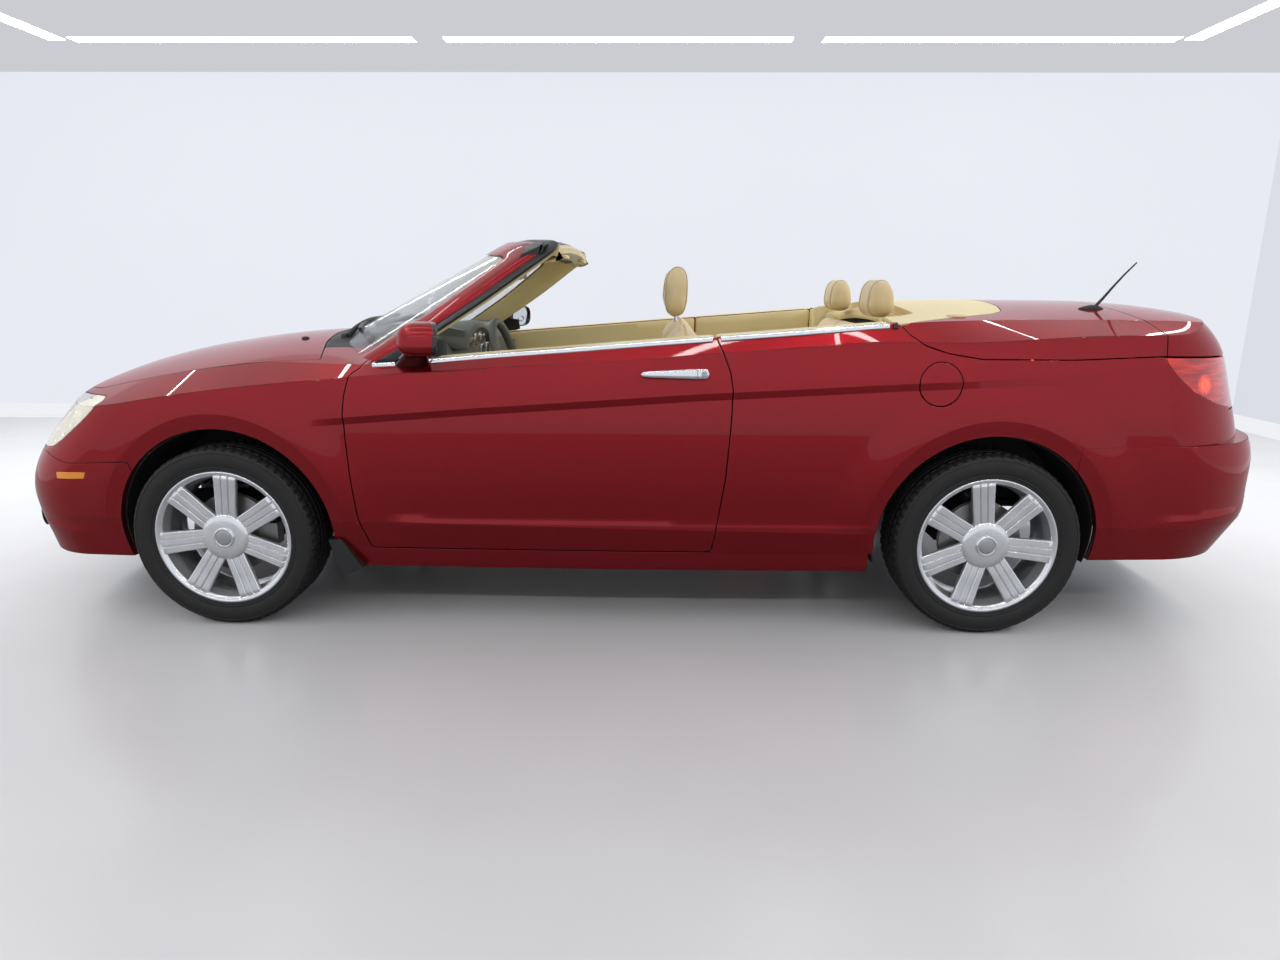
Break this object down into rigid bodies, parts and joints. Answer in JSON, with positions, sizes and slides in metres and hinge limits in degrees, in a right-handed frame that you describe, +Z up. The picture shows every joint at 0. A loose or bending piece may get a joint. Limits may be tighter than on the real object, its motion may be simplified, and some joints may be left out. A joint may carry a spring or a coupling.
{
  "type": "four-seat convertible car",
  "caption": "Open convertible car with opening doors, bonnet, rear deck and luggage lid, steered front wheels, leather seats and a raked windscreen.",
  "frame": {"origin": "on the road under the car, midway along its length on the centre line", "axes": "+X from the nose towards the tail, +Y to the car's right side, +Z up"},
  "size_m": [4.917, 2.05, 1.408],
  "materials": {
    "paint": "deep metallic red under clear lacquer",
    "underbody": "black chassis coating",
    "black_trim": "grained black plastic",
    "grille": "bright bars",
    "chrome": "bright plating",
    "lamp_clear": "clear lens over bright bowls",
    "lamp_red": "red lens",
    "screen": "clear tinted glass",
    "cream": "cream moulded trim",
    "leather": "cream leather",
    "dash": "soft grey-green moulding",
    "rim": "bright plated wheel",
    "tyre": "black rubber",
    "iron": "machined iron",
    "alloy": "plain alloy casting",
    "steel": "plain steel"
  },
  "bodies": {
    "body": {"floor_pan": "underbody", "front_frame": "underbody", "rear_frame": "underbody", "sills": "paint", "front_bumper": "paint", "grille": "grille", "fenders": "paint", "quarters": "paint", "rear_bumper": "paint", "headlamps": "lamp_clear", "tail_lamps": "lamp_red", "windscreen_frame": "black_trim", "windscreen": "screen", "cowl": "black_trim", "deck_cover": "cream", "dashboard": "dash", "seat_bases": "black_trim", "front_seats": "leather", "front_headrests": "leather", "headrest_posts": "chrome", "rear_seat": "leather", "rear_headrests": "leather", "wheel_houses": "black_trim", "front_suspension": "underbody", "rear_suspension": "underbody", "engine": "alloy", "fuel_tank": "black_trim", "exhaust": "steel"},
    "hood": {"hood": "paint"},
    "door_left": {"door_left": "paint", "handle_left": "chrome", "mirror_left": "paint"},
    "door_right": {"door_right": "paint", "handle_right": "chrome", "mirror_right": "paint"},
    "tonneau": {"tonneau": "paint", "antenna": "black_trim"},
    "trunk_lid": {"trunk_lid": "paint"},
    "fuel_flap": {"fuel_flap": "paint"},
    "steering_wheel": {"steering_wheel": "dash"},
    "knuckle_left": {"knuckle_fl": "iron"},
    "knuckle_right": {"knuckle_fr": "iron"},
    "wheel_front_left": {"rim_fl": "rim", "tyre_fl": "tyre", "hub_fl": "iron"},
    "wheel_front_right": {"rim_fr": "rim", "tyre_fr": "tyre", "hub_fr": "iron"},
    "wheel_rear_left": {"rim_rl": "rim", "tyre_rl": "tyre", "hub_rl": "iron"},
    "wheel_rear_right": {"rim_rr": "rim", "tyre_rr": "tyre", "hub_rr": "iron"}
  },
  "joints": [
    {"name": "door_left_hinge", "type": "hinge", "parent": "body", "child": "door_left", "pos_m": [-1.013, -0.906, 0.7], "axis": [0, 0, -1], "range_deg": [0, 65]},
    {"name": "door_right_hinge", "type": "hinge", "parent": "body", "child": "door_right", "pos_m": [-1.013, 0.906, 0.7], "axis": [0, 0, 1], "range_deg": [0, 65]},
    {"name": "hood_hinge", "type": "hinge", "parent": "body", "child": "hood", "pos_m": [-1.158, 0, 1.046], "axis": [0, 1, 0], "range_deg": [0, 50]},
    {"name": "tonneau_hinge", "type": "hinge", "parent": "body", "child": "tonneau", "pos_m": [2.4, 0, 0.76], "axis": [0, 1, 0], "range_deg": [0, 40]},
    {"name": "trunk_lid_hinge", "type": "hinge", "parent": "tonneau", "child": "trunk_lid", "pos_m": [1.838, 0, 1.18], "axis": [0, -1, 0], "range_deg": [0, 70]},
    {"name": "fuel_flap_hinge", "type": "hinge", "parent": "body", "child": "fuel_flap", "pos_m": [0.978, -0.893, 0.915], "axis": [0, 0, -1], "range_deg": [0, 90]},
    {"name": "steer_left", "type": "hinge", "parent": "body", "child": "knuckle_left", "pos_m": [-1.5, -0.735, 0.335], "axis": [0, 0, 1], "range_deg": [-35, 35]},
    {"name": "steer_right", "type": "hinge", "parent": "body", "child": "knuckle_right", "pos_m": [-1.5, 0.735, 0.335], "axis": [0, 0, 1], "range_deg": [-35, 35]},
    {"name": "steering_wheel_turn", "type": "hinge", "parent": "body", "child": "steering_wheel", "pos_m": [-0.525, -0.37, 0.925], "axis": [0.9563, 0, 0.2924], "range_deg": [-525, 525]},
    {"name": "spin_front_left", "type": "hinge", "parent": "knuckle_left", "child": "wheel_front_left", "pos_m": [-1.5, -0.785, 0.335], "axis": [0, 1, 0], "continuous": true},
    {"name": "spin_front_right", "type": "hinge", "parent": "knuckle_right", "child": "wheel_front_right", "pos_m": [-1.5, 0.785, 0.335], "axis": [0, 1, 0], "continuous": true},
    {"name": "spin_rear_left", "type": "hinge", "parent": "body", "child": "wheel_rear_left", "pos_m": [1.265, -0.785, 0.335], "axis": [0, 1, 0], "continuous": true},
    {"name": "spin_rear_right", "type": "hinge", "parent": "body", "child": "wheel_rear_right", "pos_m": [1.265, 0.785, 0.335], "axis": [0, 1, 0], "continuous": true}
  ],
  "couplings": [
    {"joint": "steer_right", "follows": "steer_left", "ratio": 1},
    {"joint": "steering_wheel_turn", "follows": "steer_left", "ratio": 15}
  ]
}
